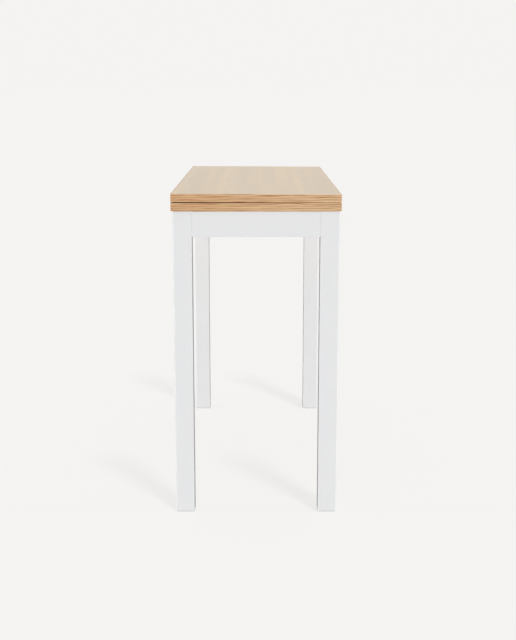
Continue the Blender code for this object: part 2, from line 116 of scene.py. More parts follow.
def add_piece(name, mesh, material, body, slot, *nodes, smooth_degrees=SHARP_DEGREES):
    """Show a mesh in a material as a piece that rides on a body and stands for CAD nodes, which are hidden.
    The slot is not used.
    """
    mesh.materials.clear()
    mesh.materials.append(material)
    mesh.shade_smooth()
    mesh.set_sharp_from_angle(angle=math.radians(smooth_degrees))
    piece = bpy.data.objects.new(name, mesh)
    bpy.context.scene.collection.objects.link(piece)
    level = piece.modifiers.new("flat faces stay flat", "WEIGHTED_NORMAL")
    level.keep_sharp = True
    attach(piece, body)
    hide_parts(*nodes)
    return piece


# A matt white film of baked polyester powder: its thickness drifts slowly, and it dries with a
# shallow orange peel.  The real peel is 1.5 mm across, and it is drawn at 4 mm so that it shows.
FILM_DRIFT = 0.070
PEEL_WIDTH = 0.004
# A colour mix has several sockets of the same name, so they go by number.
MIX_FACTOR, MIX_A, MIX_B, MIX_COLOUR = 0, 6, 7, 2
powder_coat, surface, place = new_material("white_polyester_powder_coat")
film = add_node(powder_coat, "TexNoise", {"Vector": place, "Scale": 1 / FILM_DRIFT, "Detail": 2.0})
film = film.outputs["Fac"]
peel = add_node(powder_coat, "TexNoise", {"Vector": place, "Scale": 1 / PEEL_WIDTH, "Detail": 1.0})
tone = add_node(powder_coat, "Mix", {MIX_FACTOR: film, MIX_A: linear("#EAEBEC"), MIX_B: linear("#EFEFF0")},
                data_type="RGBA")
gloss = add_node(powder_coat, "MapRange", {"Value": film, "To Min": 0.68, "To Max": 0.78})
relief = add_node(powder_coat, "Bump", {"Height": peel.outputs["Fac"], "Strength": 0.06,
                                        "Distance": 0.0002})
set_sockets(surface, {"Base Color": tone.outputs[MIX_COLOUR], "Roughness": gloss.outputs["Result"],
                      "Normal": relief.outputs["Normal"], "IOR": 1.5})

for corner in CORNERS:
    node = f"leg_{corner}"
    add_piece(f"tube_{node}", solid_copy(node), powder_coat, "frame", "white_coat", node)

# Aprons
# Two end aprons and two side aprons of 60 by 25 mm rectangular steel tube, sawn square and butted
# between the legs.  They are welded to the corner brackets, then coated with the rest of the frame.
# The bolts draw the legs up tight, so each tube is shown longer by most of the gap at its ends.
JOINT_CLOSED = 0.00028
APRONS = {"end_apron_front": 0, "end_apron_rear": 0, "side_apron_left": 1, "side_apron_right": 1}
for node, along in APRONS.items():
    tube = solid_copy(node)
    low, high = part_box(node)
    middle, half_length = (low[along] + high[along]) / 2, (high[along] - low[along]) / 2
    for vertex in tube.vertices:
        vertex.co[along] = middle + (vertex.co[along] - middle) * (1 + JOINT_CLOSED / half_length)
    add_piece(f"tube_{node}", tube, powder_coat, "frame", "white_coat", node)

# Corner brackets
# Four bent plates of 2.5 mm steel that cross the inner corners.  Each lies on two aprons, and a
# rippled fillet weld runs down the end of each of its tabs.
PLATE_EDGE = 0.0004
WELD_LEG = 0.0026
WELD_ROOT = 0.0004
WELD_OUTLINE = ((0.0, 1.0), (0.42, 0.72), (0.72, 0.42), (1.0, 0.0))
WELD_SMOOTH_DEGREES = 60

# A bead swells by a tenth at each ripple.  It starts and ends thin, and thickens quickly from there.
WELD_RIPPLE = 0.0024
RIPPLE_SWELL = 0.10
RIPPLE_STEPS = 4
LEAST_STEPS = 8
BEAD_START = 0.45
BEAD_RISE = 8.0


def weld_bead(shape, start, end, along_a, along_b):
    """Add a fillet weld to a mesh: it lies in the corner between two faces that run along a and b."""
    run = end - start
    steps = max(LEAST_STEPS, round(run.length / WELD_RIPPLE * RIPPLE_STEPS))
    rings = []
    for step in range(steps + 1):
        share = step / steps
        ripple = 1.0 + RIPPLE_SWELL * math.sin(share * run.length / WELD_RIPPLE * 2 * math.pi)
        taper = min(1.0, BEAD_START + BEAD_RISE * min(share, 1.0 - share))
        centre = start + run * share
        ring = [centre - WELD_ROOT * (along_a + along_b)]
        for part_a, part_b in WELD_OUTLINE:
            ring.append(centre + WELD_LEG * ripple * taper * (part_a * along_a + part_b * along_b))
        rings.append([shape.verts.new(point) for point in ring])
    for ring, after in zip(rings, rings[1:]):
        for index in range(len(ring)):
            beside = (index + 1) % len(ring)
            shape.faces.new((ring[index], ring[beside], after[beside], after[index]))
    shape.faces.new(rings[0][::-1])
    shape.faces.new(rings[-1])


def weld_mesh(name, runs):
    """All the beads of one piece, each from a start to an end along two faces, as one mesh."""
    shape = bmesh.new()
    for run in runs:
        weld_bead(shape, *run)
    bmesh.ops.recalc_face_normals(shape, faces=shape.faces)
    return mesh_of(shape, name)


for corner, (sign_x, sign_y) in CORNERS.items():
    node = f"corner_bracket_{corner}"
    add_piece(f"plate_{node}", solid_copy(node, PLATE_EDGE), powder_coat, "frame", "white_coat", node)
    low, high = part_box(node)
    inward_x, inward_y = Vector((-sign_x, 0, 0)), Vector((0, -sign_y, 0))
    near = Vector((high.x if sign_x > 0 else low.x, high.y if sign_y > 0 else low.y, 0))
    far = Vector((low.x if sign_x > 0 else high.x, low.y if sign_y > 0 else high.y, 0))
    runs = []
    for tab_end in (Vector((far.x, near.y, 0)), Vector((near.x, far.y, 0))):
        foot = tab_end + Vector((0, 0, low.z + WELD_LEG))
        head = tab_end + Vector((0, 0, high.z - WELD_LEG))
        runs.append((foot, head, inward_x, inward_y))
    add_piece(f"weld_{node}", weld_mesh(node, runs), powder_coat, "frame", "white_coat",
              smooth_degrees=WELD_SMOOTH_DEGREES)

# Guide channels
# Two roll-formed C channels of 2 mm steel that cross the frame, slot upward.  Their ends are welded
# to the side aprons on both sides and underneath, and coated with the frame.
FORMED_EDGE = 0.0008
WELD_SETBACK = 0.0015
for end in ("front", "rear"):
    node = f"guide_channel_{end}"
    add_piece(f"profile_{node}", solid_copy(node, FORMED_EDGE), powder_coat, "frame", "white_coat", node)
    low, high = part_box(node)
    down = Vector((0, 0, -1))
    runs = []
    for end_x, inward in ((low.x, Vector((1, 0, 0))), (high.x, Vector((-1, 0, 0)))):
        for side_y, outward in ((low.y, Vector((0, -1, 0))), (high.y, Vector((0, 1, 0)))):
            foot = Vector((end_x, side_y, low.z + WELD_SETBACK))
            head = Vector((end_x, side_y, high.z - WELD_SETBACK))
            runs.append((foot, head, inward, outward))
        left = Vector((end_x, low.y + WELD_SETBACK, low.z))
        right = Vector((end_x, high.y - WELD_SETBACK, low.z))
        runs.append((left, right, inward, down))
    add_piece(f"weld_{node}", weld_mesh(node, runs), powder_coat, "frame", "white_coat",
              smooth_degrees=WELD_SMOOTH_DEGREES)

# Leg bolts
# Four M8 hexagon bolts with a pressed flange, cold forged in steel and bright zinc plated.  Each goes
# through a corner bracket into the nut that is welded inside the leg.
BOLT_SHANK = 0.0080
BOLT_TIP = 0.0010
BOLT_FLATS = 0.0130
BOLT_FLANGE = 0.0165
BOLT_FLANGE_RIM = 0.0009
BOLT_FLANGE_TOP = 0.0016
BOLT_HEAD_TOP = 0.0053

# The head's end is a circle narrower than its flats, and its corners reach full size in two steps.
BOLT_END_SHARE = 0.92
BOLT_CORNER_SHARE = 0.97
BOLT_CROWN = 0.0009
BOLT_SHOULDER = 0.00144
ROUND_POINTS = 24

# Bright zinc: a cool grey metal with faint clouds from the plating bath, about 9 mm across.
ZINC_CLOUD = 0.009
zinc, surface, place = new_material("bright_zinc_plated_steel")
cloud = add_node(zinc, "TexNoise", {"Vector": place, "Scale": 1 / ZINC_CLOUD, "Detail": 3.0}).outputs["Fac"]
tone = add_node(zinc, "Mix", {MIX_FACTOR: cloud, MIX_A: linear("#B4B8BD"), MIX_B: linear("#CBCDCB")},
                data_type="RGBA")
gloss = add_node(zinc, "MapRange", {"Value": cloud, "To Min": 0.28, "To Max": 0.42})
set_sockets(surface, {"Base Color": tone.outputs[MIX_COLOUR], "Roughness": gloss.outputs["Result"],
                      "Metallic": 1.0})


def ring_of(radius, flats=0.0):
    """Points round an axis: a circle, or the part of it that a hexagon of that width leaves."""
    points = []
    for index in range(ROUND_POINTS):
        angle = 2 * math.pi * index / ROUND_POINTS
        reach = radius
        if flats:
            from_flat = (angle + math.pi / 6) % (math.pi / 3) - math.pi / 6
            reach = min(radius, flats / 2 / math.cos(from_flat))
        points.append((reach * math.cos(angle), reach * math.sin(angle)))
    return points


def turned_solid(name, rings):
    """A closed mesh through rings of points, each at its height along Z."""
    shape = bmesh.new()
    loops = [[shape.verts.new((*point, height)) for point in ring] for ring, height in rings]
    for lower, upper in zip(loops, loops[1:]):
        for index in range(len(lower)):
            beside = (index + 1) % len(lower)
            shape.faces.new((lower[index], lower[beside], upper[beside], upper[index]))
    shape.faces.new(loops[0][::-1])
    shape.faces.new(loops[-1])
    bmesh.ops.recalc_face_normals(shape, faces=shape.faces)
    return mesh_of(shape, name)


for corner, (sign_x, sign_y) in CORNERS.items():
    node = f"leg_bolt_{corner}"
    low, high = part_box(node)
    axis = Vector((sign_x, sign_y, 0)).normalized()
    along = [axis.dot(vertex.co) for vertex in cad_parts[node].data.vertices]
    length = max(along) - min(along)
    hexagon_radius = BOLT_FLATS / math.sqrt(3)
    rings = [
        (ring_of(BOLT_FLATS / 2 * BOLT_END_SHARE), 0.0),
        (ring_of(hexagon_radius * BOLT_CORNER_SHARE, BOLT_FLATS), BOLT_CROWN),
        (ring_of(hexagon_radius, BOLT_FLATS), BOLT_SHOULDER),
        (ring_of(hexagon_radius, BOLT_FLATS), BOLT_HEAD_TOP - BOLT_FLANGE_TOP),
        (ring_of(BOLT_FLANGE / 2), BOLT_HEAD_TOP - BOLT_FLANGE_RIM),
        (ring_of(BOLT_FLANGE / 2), BOLT_HEAD_TOP),
        (ring_of(BOLT_SHANK / 2), BOLT_HEAD_TOP),
        (ring_of(BOLT_SHANK / 2), length - BOLT_TIP),
        (ring_of(BOLT_SHANK / 2 - BOLT_TIP), length),
    ]
    mesh = turned_solid(node, rings)
    centre = (low + high) / 2
    centre -= axis * axis.dot(centre)
    turn = axis.to_track_quat("Z", "Y").to_matrix().to_4x4()
    mesh.transform(Matrix.Translation(centre + axis * min(along)) @ turn)
    add_piece(f"hexagon_{node}", mesh, zinc, "frame", "zinc_steel", node)

# Foot glides
# Four white polyethylene glides with a ribbed plug, moulded in one shot and knocked into the open
# ends of the legs.  Only the thin flange under the leg shows.
MOULD_EDGE = 0.0003

# Moulded polyethylene: softer and waxier than the coat, with a faint cloud where the melt met.
MELT_CLOUD = 0.012
polyethylene, surface, place = new_material("white_moulded_polyethylene")
cloud = add_node(polyethylene, "TexNoise", {"Vector": place, "Scale": 1 / MELT_CLOUD, "Detail": 2.0})
cloud = cloud.outputs["Fac"]
tone = add_node(polyethylene, "Mix", {MIX_FACTOR: cloud, MIX_A: linear("#DEDEDC"),
                                      MIX_B: linear("#E6E6E3")}, data_type="RGBA")
gloss = add_node(polyethylene, "MapRange", {"Value": cloud, "To Min": 0.48, "To Max": 0.58})
set_sockets(surface, {"Base Color": tone.outputs[MIX_COLOUR], "Roughness": gloss.outputs["Result"],
                      "IOR": 1.51, "Subsurface Weight": 0.05, "Subsurface Scale": 0.002})
for corner in CORNERS:
    node = f"foot_glide_{corner}"
    add_piece(f"moulded_{node}", solid_copy(node, MOULD_EDGE), polyethylene, "frame", "white_plastic", node)

# Wear strips and sliders
# Two flat strips of natural nylon stuck along the end aprons, and two moulded nylon runners of I
# section that slide in the guide channels.  Two countersunk screws hold each runner to the leaf.
NYLON_EDGE = 0.0002

# Natural nylon: an ivory plastic with a waxy sheen and fine scuffs along the way that it slides.
SCUFF_LENGTH = 0.030
SCUFF_WIDTH = 0.0012
nylon, surface, place = new_material("natural_moulded_nylon")
scuff_scale = (1 / SCUFF_LENGTH, 1 / SCUFF_WIDTH, 1 / SCUFF_WIDTH)
drawn = add_node(nylon, "Mapping", {"Vector": place, "Scale": scuff_scale})
scuff = add_node(nylon, "TexNoise", {"Vector": drawn.outputs["Vector"], "Scale": 1.0, "Detail": 2.0})
scuff = scuff.outputs["Fac"]
tone = add_node(nylon, "Mix", {MIX_FACTOR: scuff, MIX_A: linear("#DAD7CB"), MIX_B: linear("#E6E3D8")},
                data_type="RGBA")
gloss = add_node(nylon, "MapRange", {"Value": scuff, "To Min": 0.36, "To Max": 0.56})
set_sockets(surface, {"Base Color": tone.outputs[MIX_COLOUR], "Roughness": gloss.outputs["Result"],
                      "IOR": 1.53})
for end in ("front", "rear"):
    strip = f"wear_strip_{end}"
    add_piece(f"nylon_{strip}", solid_copy(strip, NYLON_EDGE), nylon, "frame", "nylon", strip)
    runner = f"slider_{end}"
    add_piece(f"nylon_{runner}", solid_copy(runner, NYLON_EDGE), nylon, "lower_leaf", "nylon", runner)
    for side in ("left", "right"):
        screw = f"slider_screw_{end}_{side}"
        add_piece(f"zinc_{screw}", solid_copy(screw), zinc, "lower_leaf", "zinc_steel", screw)

# Leaf boards
# Two equal leaves of 19 mm particle board, pressed on both faces with an oak-print melamine sheet.
# The sheet is printed as glued staves of plain-sawn oak, its grain along the table.
STAVE_WIDTH = 0.092
STAVE_TONE = 0.99
STAVE_TONE_RANGE = 0.03
RING_SPACING = 0.0072
RING_FADE = 3.0
PITH_DEPTH = 0.054
GRAIN_TAPER = 0.022
GRAIN_WANDER = 0.010
WANDER_LENGTH = 0.450
WANDER_WIDTH = 0.080
FIBRE_LENGTH = 0.380
FIBRE_WIDTH = 0.0060
PORE_LENGTH = 0.016
PORE_WIDTH = 0.0005
PORE_SHARE = 0.35
BAND_LENGTH = 1.200
BAND_WIDTH = 0.034
OAK_PALE, OAK_RING, OAK_FIBRE, OAK_PORE = "#DEC6A5", "#DAC19E", "#DDC4A2", "#BB9A72"
# The wave texture repeats once in this length when its scale is one.
WAVE_PERIOD = 2 * math.pi / 20

# Melamine print: a satin sheet over the printed oak, paler between the growth rings and darker along
# them, with short fine pores pressed in.  Real pores are finer, and are drawn 0.5 mm wide to show.
laminate, surface, place = new_material("oak_print_melamine_sheet")

# Each stave has its own three chances: where its pith lies, how deep, and how dark the stave is.
split = add_node(laminate, "SeparateXYZ", {"Vector": place})
stave = add_node(laminate, "Math", {0: split.outputs["X"], 1: STAVE_WIDTH}, operation="DIVIDE")
stave = add_node(laminate, "Math", {0: stave.outputs[0]}, operation="FLOOR").outputs[0]
chance = add_node(laminate, "TexWhiteNoise", {"W": stave}, noise_dimensions="1D")
chances = add_node(laminate, "SeparateXYZ", {"Vector": chance.outputs["Color"]})

# The growth rings lie round the pith, which runs slowly away from the sheet, and they wander a little.
wander_scale = (1 / WANDER_WIDTH, 1 / WANDER_LENGTH, 1 / WANDER_WIDTH)
wander_way = add_node(laminate, "Mapping", {"Vector": place, "Scale": wander_scale})
wander = add_node(laminate, "TexNoise", {"Vector": wander_way.outputs["Vector"], "Scale": 1.0,
                                         "Detail": 2.0})
drift = add_node(laminate, "MapRange", {"Value": wander.outputs["Fac"], "To Min": -GRAIN_WANDER,
                                        "To Max": GRAIN_WANDER})
across = add_node(laminate, "Math", {0: split.outputs["X"], 1: drift.outputs["Result"]}, operation="ADD")
pith = add_node(laminate, "Math", {0: stave, 1: chances.outputs["X"]}, operation="ADD")
across = add_node(laminate, "Math", {0: pith.outputs[0], 1: -STAVE_WIDTH, 2: across.outputs[0]},
                  operation="MULTIPLY_ADD")
start = add_node(laminate, "Math", {0: chances.outputs["Y"], 1: PITH_DEPTH, 2: PITH_DEPTH / 2},
                 operation="MULTIPLY_ADD")
depth = add_node(laminate, "Math", {0: split.outputs["Y"], 1: GRAIN_TAPER, 2: start.outputs[0]},
                 operation="MULTIPLY_ADD")
from_pith = add_node(laminate, "CombineXYZ", {"X": across.outputs[0], "Y": depth.outputs[0]})
reach = add_node(laminate, "VectorMath", {0: from_pith.outputs["Vector"]}, operation="LENGTH")
ring_place = add_node(laminate, "CombineXYZ", {"X": reach.outputs["Value"]})
rings = add_node(laminate, "TexWave", {"Vector": ring_place.outputs["Vector"], "Distortion": 0.0,
                                       "Scale": WAVE_PERIOD / RING_SPACING}, wave_profile="SAW")
ring_line = add_node(laminate, "Math", {0: rings.outputs["Fac"], 1: RING_FADE}, operation="POWER")

# Fibres, pores and broad pale and dark bands are all drawn out along the grain.
grains = []
for width, length in ((FIBRE_WIDTH, FIBRE_LENGTH), (PORE_WIDTH, PORE_LENGTH), (BAND_WIDTH, BAND_LENGTH)):
    way = add_node(laminate, "Mapping", {"Vector": place, "Scale": (1 / width, 1 / length, 1 / length)})
    grain = add_node(laminate, "TexNoise", {"Vector": way.outputs["Vector"], "Scale": 1.0, "Detail": 1.0})
    grains.append(grain.outputs["Fac"])
fibre, pore, band = grains
streak = add_node(laminate, "MapRange", {"Value": fibre, "From Min": 0.35, "From Max": 0.70, "To Max": 0.7})
pore = add_node(laminate, "MapRange", {"Value": pore, "From Min": 0.58, "From Max": 0.70}).outputs["Result"]
pore_share = add_node(laminate, "Math", {0: pore, 1: PORE_SHARE}, operation="MULTIPLY")
wood = linear(OAK_PALE)
for share, colour in ((ring_line.outputs[0], OAK_RING), (streak.outputs["Result"], OAK_FIBRE),
                      (pore_share.outputs[0], OAK_PORE)):
    mix = add_node(laminate, "Mix", {MIX_FACTOR: share, MIX_A: wood, MIX_B: linear(colour)},
                   data_type="RGBA")
    wood = mix.outputs[MIX_COLOUR]
band_tone = add_node(laminate, "MapRange", {"Value": band, "From Min": 0.3, "From Max": 0.7,
                                            "To Min": 0.915, "To Max": 1.05})
stave_tone = add_node(laminate, "Math", {0: chances.outputs["Z"], 1: STAVE_TONE_RANGE, 2: STAVE_TONE},
                      operation="MULTIPLY_ADD")
tone = add_node(laminate, "Math", {0: stave_tone.outputs[0], 1: band_tone.outputs["Result"]},
                operation="MULTIPLY")
wood = add_node(laminate, "HueSaturation", {"Value": tone.outputs[0], "Color": wood})
gloss = add_node(laminate, "MapRange", {"Value": band, "To Min": 0.28, "To Max": 0.36})
relief = add_node(laminate, "Bump", {"Height": pore, "Strength": 0.04, "Distance": 0.00005}, invert=True)
set_sockets(surface, {"Base Color": wood.outputs["Color"], "Roughness": gloss.outputs["Result"],
                      "Normal": relief.outputs["Normal"], "IOR": 1.5})

# Raw particle board, which shows only in the hinge pockets and screw holes: chips about 3 mm across,
# pale and dark by turns, with a dry and crumbly skin.
CHIP_WIDTH = 0.003
particle_board, surface, place = new_material("raw_particle_board")
chips = add_node(particle_board, "TexVoronoi", {"Vector": place, "Scale": 1 / CHIP_WIDTH})
chip_tone = add_node(particle_board, "SeparateXYZ", {"Vector": chips.outputs["Color"]}).outputs["X"]
tone = add_node(particle_board, "Mix", {MIX_FACTOR: chip_tone, MIX_A: linear("#A98861"),
                                        MIX_B: linear("#CDB08A")}, data_type="RGBA")
relief = add_node(particle_board, "Bump", {"Height": chips.outputs["Distance"], "Strength": 0.4,
                                           "Distance": 0.0004})
set_sockets(surface, {"Base Color": tone.outputs[MIX_COLOUR], "Roughness": 0.85,
                      "Normal": relief.outputs["Normal"]})

# A face lies level when the upright part of its normal is above this, and the sheet is on large ones.
LEVEL = 0.9
SHEET_AREA = 0.001
for leaf in ("lower", "upper"):
    node = f"{leaf}_leaf_board"
    board = add_piece(f"laminated_{node}", solid_copy(node), laminate, f"{leaf}_leaf", "oak_laminate", node)
    board.data.materials.append(particle_board)
    for face in board.data.polygons:
        pressed = abs(face.normal.z) > LEVEL and face.area > SHEET_AREA
        face.material_index = 0 if pressed else 1

# Edging
# Strips of 2 mm plastic edging, printed with oak grain along their length, are glued round each leaf
# and scraped round at both arrises.  The end strips run the full width, the others between them.
GROWTH_LINE = 0.0048
WAVER_SWING = 0.0088
WAVER_WIDTH = 0.012
WAVER_RUN = 0.110
FIBRE_LINE = 0.0016
FIBRE_RUN = 0.060
HAIR_LINE = 0.0005
HAIR_RUN = 0.040
DRIFT_WIDTH = 0.060
DRIFT_RUN = 0.420
DRIFT_START = 4.0


def printed_edging(name, along, across):
    """Printed plastic edging: warm tan with thin darker growth lines along it, under a satin lacquer."""
    material, surface, place = new_material(name)
    noises = []
    for width, run, start in ((WAVER_WIDTH, WAVER_RUN, 0.0), (FIBRE_LINE, FIBRE_RUN, 0.0),
                              (DRIFT_WIDTH, DRIFT_RUN, DRIFT_START), (HAIR_LINE, HAIR_RUN, 0.0)):
        scale = [1 / width] * 3
        scale[along] = 1 / run
        scale[across] = 0.0
        way = add_node(material, "Mapping", {"Vector": place, "Scale": scale,
                                             "Location": (start, start, 0.0)})
        noise = add_node(material, "TexNoise", {"Vector": way.outputs["Vector"], "Scale": 1.0,
                                                "Detail": 1.0})
        noises.append(noise.outputs["Fac"])
    waver, fibre, drift, hair = noises
    height = add_node(material, "SeparateXYZ", {"Vector": place}).outputs["Z"]
    height = add_node(material, "Math", {0: waver, 1: WAVER_SWING, 2: height}, operation="MULTIPLY_ADD")
    height = add_node(material, "CombineXYZ", {"X": height.outputs[0]})
    growth = add_node(material, "TexWave", {"Vector": height.outputs["Vector"], "Distortion": 0.0,
                                            "Scale": WAVE_PERIOD / GROWTH_LINE}).outputs["Fac"]
    broken = add_node(material, "MapRange", {"Value": fibre, "From Min": 0.35, "From Max": 0.60,
                                             "To Min": 0.25}).outputs["Result"]
    hair = add_node(material, "MapRange", {"Value": hair, "From Min": 0.50, "From Max": 0.72,
                                           "To Max": 0.26}).outputs["Result"]
    dark = add_node(material, "Math", {0: growth, 1: broken, 2: hair}, operation="MULTIPLY_ADD").outputs[0]
    warm = add_node(material, "MapRange", {"Value": drift, "From Min": 0.35, "From Max": 0.65})
    wood = linear("#EAC89F")
    for share, colour in ((warm.outputs["Result"], "#DFB68A"), (dark, "#A4734A")):
        mix = add_node(material, "Mix", {MIX_FACTOR: share, MIX_A: wood, MIX_B: linear(colour)},
                       data_type="RGBA")
        wood = mix.outputs[MIX_COLOUR]
    gloss = add_node(material, "MapRange", {"Value": dark, "To Min": 0.40, "To Max": 0.52})
    relief = add_node(material, "Bump", {"Height": dark, "Strength": 0.08, "Distance": 0.0002}, invert=True)
    set_sockets(surface, {"Base Color": wood, "Roughness": gloss.outputs["Result"],
                          "Normal": relief.outputs["Normal"], "IOR": 1.5})
    return material


end_edging = printed_edging("oak_print_edging_on_ends", along=0, across=1)
side_edging = printed_edging("oak_print_edging_on_sides", along=1, across=0)
EDGING = {"front": end_edging, "rear": end_edging, "free": side_edging, "hinge": side_edging}
for leaf in ("lower", "upper"):
    for side, material in EDGING.items():
        node = f"{leaf}_edging_{side}"
        add_piece(f"strip_{node}", solid_copy(node), material, f"{leaf}_leaf", "oak_edging", node)

# Hinges
# Three double-pivot hinges: die-cast zinc cups let into both leaves and nickel plated, each held by
# two countersunk screws.  A short stamped steel link joins each pair of cups on two steel pins.
CAST_EDGE = 0.0003
STAMPED_EDGE = 0.0003
SCREW_HEAD = 0.0060
SCREW_SHANK = 0.0030
SCREW_SEAT = 0.0020
SCREW_SHOWN = 0.0040
SCREW_SUNK = 0.0001
SCREW_TOP = -0.00009
SCREW_ROOM = 0.0001
SCREW_SPREAD = 0.0058
SCREW_SETBACK = 0.0160
HOLE_TOP = 0.0006

# The cross in a screw's head.  At the bottom its arms are only a share as long and as wide.
RECESS_LENGTH = 0.0034
RECESS_WIDTH = 0.0008
RECESS_DEPTH = 0.0012
RECESS_TOP = 0.0004
BOTTOM_LENGTH = 0.55
BOTTOM_WIDTH = 0.8

# Satin nickel over die casting: a warm pale metal, its plating finely grained by the cast skin.
CAST_GRAIN = 0.0016
nickel, surface, place = new_material("satin_nickel_on_die_casting")
skin = add_node(nickel, "TexNoise", {"Vector": place, "Scale": 1 / CAST_GRAIN, "Detail": 3.0})
skin = skin.outputs["Fac"]
tone = add_node(nickel, "Mix", {MIX_FACTOR: skin, MIX_A: linear("#B9B4AB"), MIX_B: linear("#C8C3BA")},
                data_type="RGBA")
gloss = add_node(nickel, "MapRange", {"Value": skin, "To Min": 0.28, "To Max": 0.44})
relief = add_node(nickel, "Bump", {"Height": skin, "Strength": 0.10, "Distance": 0.0001})
set_sockets(surface, {"Base Color": tone.outputs[MIX_COLOUR], "Roughness": gloss.outputs["Result"],
                      "Normal": relief.outputs["Normal"], "Metallic": 1.0})

# Stamped steel, tumbled and oiled: a darker grey metal with fine lines from the rolling mill.
MILL_LINE = 0.0008
MILL_RUN = 0.012
steel, surface, place = new_material("tumbled_stamped_steel")
mill_scale = (1 / MILL_LINE, 1 / MILL_LINE, 1 / MILL_RUN)
rolled = add_node(steel, "Mapping", {"Vector": place, "Scale": mill_scale})
mill = add_node(steel, "TexNoise", {"Vector": rolled.outputs["Vector"], "Scale": 1.0, "Detail": 2.0})
mill = mill.outputs["Fac"]
tone = add_node(steel, "Mix", {MIX_FACTOR: mill, MIX_A: linear("#9A9B9D"), MIX_B: linear("#B2B3B4")},
                data_type="RGBA")
gloss = add_node(steel, "MapRange", {"Value": mill, "To Min": 0.30, "To Max": 0.46})
set_sockets(surface, {"Base Color": tone.outputs[MIX_COLOUR], "Roughness": gloss.outputs["Result"],
                      "Metallic": 1.0})


def carved(mesh, cutter):
    """A mesh with the shape of a cutter taken out of it; both are used up."""
    body = bpy.data.objects.new("carved_body", mesh)
    tool = bpy.data.objects.new("carving_tool", cutter)
    for item in (body, tool):
        bpy.context.scene.collection.objects.link(item)
    carving = body.modifiers.new("carving", "BOOLEAN")
    carving.operation = "DIFFERENCE"
    carving.solver = "EXACT"
    carving.object = tool
    result = bpy.data.meshes.new_from_object(body.evaluated_get(bpy.context.evaluated_depsgraph_get()))
    for item, used in ((body, mesh), (tool, cutter)):
        bpy.data.objects.remove(item)
        bpy.data.meshes.remove(used)
    return result


def cross_recess():
    """A cross-shaped punch, narrower at its bottom, that stands up from the screw's head."""
    half_length, half_width = RECESS_LENGTH / 2, RECESS_WIDTH / 2
    arm = [(half_length, -half_width), (half_length, half_width), (half_width, half_width)]
    outline = []
    for quarter in range(4):
        turn = Matrix.Rotation(quarter * math.pi / 2, 2)
        outline += [tuple(turn @ Vector(point)) for point in arm]
    bottom = []
    for x, y in outline:
        share_x, share_y = BOTTOM_WIDTH, BOTTOM_LENGTH
        if abs(x) > abs(y):
            share_x, share_y = BOTTOM_LENGTH, BOTTOM_WIDTH
        bottom.append((x * share_x, y * share_y))
    return turned_solid("cross_recess", [(bottom, -RECESS_DEPTH), (outline, RECESS_TOP)])


def screw_seat(grow, top):
    """A countersunk head or its hole, from its shank up to a height."""
    rings = [
        (ring_of(SCREW_SHANK / 2 + grow), -SCREW_SHOWN),
        (ring_of(SCREW_SHANK / 2 + grow), -SCREW_SEAT),
        (ring_of(SCREW_HEAD / 2 + grow), -SCREW_SUNK),
        (ring_of(SCREW_HEAD / 2 + grow), top),
    ]
    return turned_solid("screw_seat", rings)


for leaf, facing in (("lower", 1), ("upper", -1)):
    body = f"{leaf}_leaf"
    for row in ("front", "middle", "rear"):
        node = f"{leaf}_hinge_cup_{row}"
        cup = solid_copy(node, CAST_EDGE)
        low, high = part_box(node)
        outward = [face for face in cup.polygons if face.normal.z * facing > LEVEL]
        plate = max(outward, key=lambda face: face.area)
        normal = plate.normal.copy()
        height = plate.center.dot(normal)
        middle_y = (low.y + high.y) / 2
        heads = bmesh.new()
        for side in (-1, 1):
            spot = Vector((high.x - SCREW_SETBACK, middle_y + side * SCREW_SPREAD, 0))
            spot.z = (height - normal.x * spot.x - normal.y * spot.y) / normal.z
            stand = Matrix.Translation(spot) @ normal.to_track_quat("Z", "Y").to_matrix().to_4x4()
            hole = screw_seat(SCREW_ROOM, HOLE_TOP)
            hole.transform(stand)
            cup = carved(cup, hole)
            head = carved(screw_seat(0.0, SCREW_TOP), cross_recess())
            head.transform(stand)
            heads.from_mesh(head)
            bpy.data.meshes.remove(head)
        screws = mesh_of(heads, f"{leaf}_hinge_screws_{row}")
        add_piece(f"cast_{node}", cup, nickel, body, "hinge_casting", node)
        add_piece(f"{leaf}_hinge_screws_{row}", screws, zinc, body, "zinc_steel")
        pin = f"{leaf}_hinge_pin_{row}"
        add_piece(f"steel_{pin}", solid_copy(pin), steel, body, "hinge_steel", pin)
for row in ("front", "middle", "rear"):
    link = f"hinge_link_{row}"
    add_piece(f"stamped_{link}", solid_copy(link, STAMPED_EDGE), steel, "hinge_links", "hinge_steel", link)

# Buffers
# Two soft grey polyurethane buttons, cast in a dome and stuck near the free edge of the lower leaf.  The
# upper leaf lies on them, so a thin wedge of a gap is left between the leaves.  Their grey is drawn darker
# than their own, as painted shade, so that the gap in front of them stays dark.

# Cast polyurethane: a soft satin skin that light enters a little, faintly clouded by the pour.  Its dark
# grey is partly the buttons' own grey and partly painted shade.
BUFFER_CLOUD = 0.004
buffer_rubber_and_painted_shade, surface, place = new_material("grey_cast_polyurethane")
cloud = add_node(buffer_rubber_and_painted_shade, "TexNoise", {"Vector": place, "Scale": 1 / BUFFER_CLOUD, "Detail": 1.0})
cloud = cloud.outputs["Fac"]
# These greys are darker than the real buttons, as painted shade for the gap between the leaves.
tone = add_node(buffer_rubber_and_painted_shade, "Mix", {MIX_FACTOR: cloud, MIX_A: linear("#5C5C5A"),
                                       MIX_B: linear("#676765")}, data_type="RGBA")
gloss = add_node(buffer_rubber_and_painted_shade, "MapRange", {"Value": cloud, "To Min": 0.42, "To Max": 0.55})
set_sockets(surface, {"Base Color": tone.outputs[MIX_COLOUR], "Roughness": gloss.outputs["Result"],
                      "IOR": 1.48, "Subsurface Weight": 0.2, "Subsurface Scale": 0.001})
for end in ("front", "rear"):
    node = f"buffer_{end}"
    add_piece(f"soft_{node}", solid_copy(node), buffer_rubber_and_painted_shade, "lower_leaf", "soft_rubber", node)

